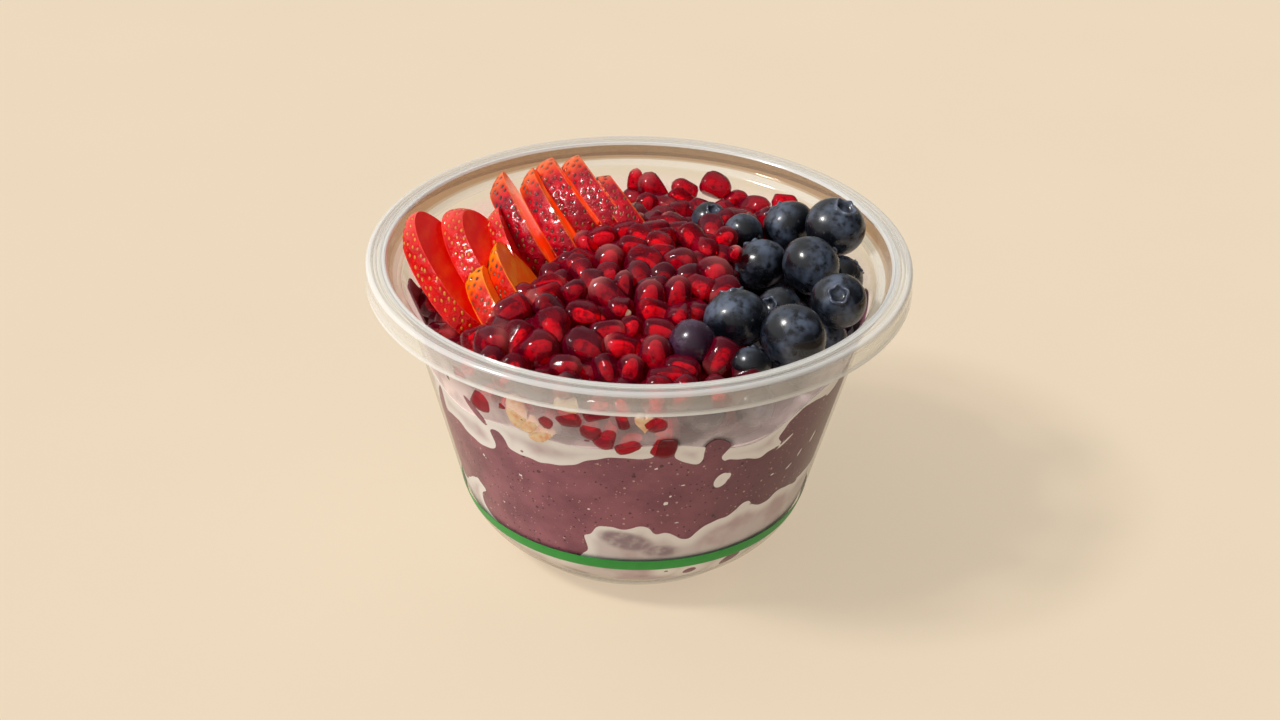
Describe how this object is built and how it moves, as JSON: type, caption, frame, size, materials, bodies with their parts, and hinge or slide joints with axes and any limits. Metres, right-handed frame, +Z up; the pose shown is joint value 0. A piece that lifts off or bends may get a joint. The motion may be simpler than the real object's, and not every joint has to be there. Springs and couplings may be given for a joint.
{
  "type": "acai bowl",
  "caption": "Clear round deli bowl of acai blend between yoghurt layers, topped with strawberry slices, pomegranate seeds and blueberries.",
  "frame": {"origin": "centre of the foot ring, on the surface it stands on", "axes": "+Z up, -Y towards the side that the fruit is arranged to face, +X to the right from there"},
  "size_m": [0.15, 0.15, 0.0949],
  "materials": {
    "clear_bowl": "clear thin plastic, glossy",
    "yoghurt": "smooth wet yoghurt",
    "acai": "fine speckled fruit blend",
    "strawberry": "wet cut fruit",
    "blueberry": "dark skin with a pale bloom",
    "pomegranate": "glossy, translucent"
  },
  "bodies": {
    "root": {"acai_blend": "acai", "blueberry_01": "blueberry", "blueberry_02": "blueberry", "blueberry_03": "blueberry", "blueberry_04": "blueberry", "blueberry_05": "blueberry", "blueberry_06": "blueberry", "blueberry_07": "blueberry", "blueberry_08": "blueberry", "blueberry_09": "blueberry", "blueberry_10": "blueberry", "blueberry_11": "blueberry", "blueberry_12": "blueberry", "blueberry_13": "blueberry", "blueberry_14": "blueberry", "blueberry_15": "blueberry", "blueberry_16": "blueberry", "blueberry_17": "blueberry", "blueberry_18": "blueberry", "blueberry_19": "blueberry", "blueberry_20": "blueberry", "blueberry_21": "blueberry", "blueberry_22": "blueberry", "blueberry_23": "blueberry", "blueberry_24": "blueberry", "bowl": "clear_bowl", "pomegranate_heap": "pomegranate", "strawberry_slice_01": "strawberry", "strawberry_slice_02": "strawberry", "strawberry_slice_03": "strawberry", "strawberry_slice_04": "strawberry", "strawberry_slice_05": "strawberry", "strawberry_slice_06": "strawberry", "strawberry_slice_07": "strawberry", "strawberry_slice_08": "strawberry", "strawberry_slice_09": "strawberry", "strawberry_slice_10": "strawberry", "yoghurt_lower": "yoghurt", "yoghurt_upper": "yoghurt"}
  },
  "joints": []
}
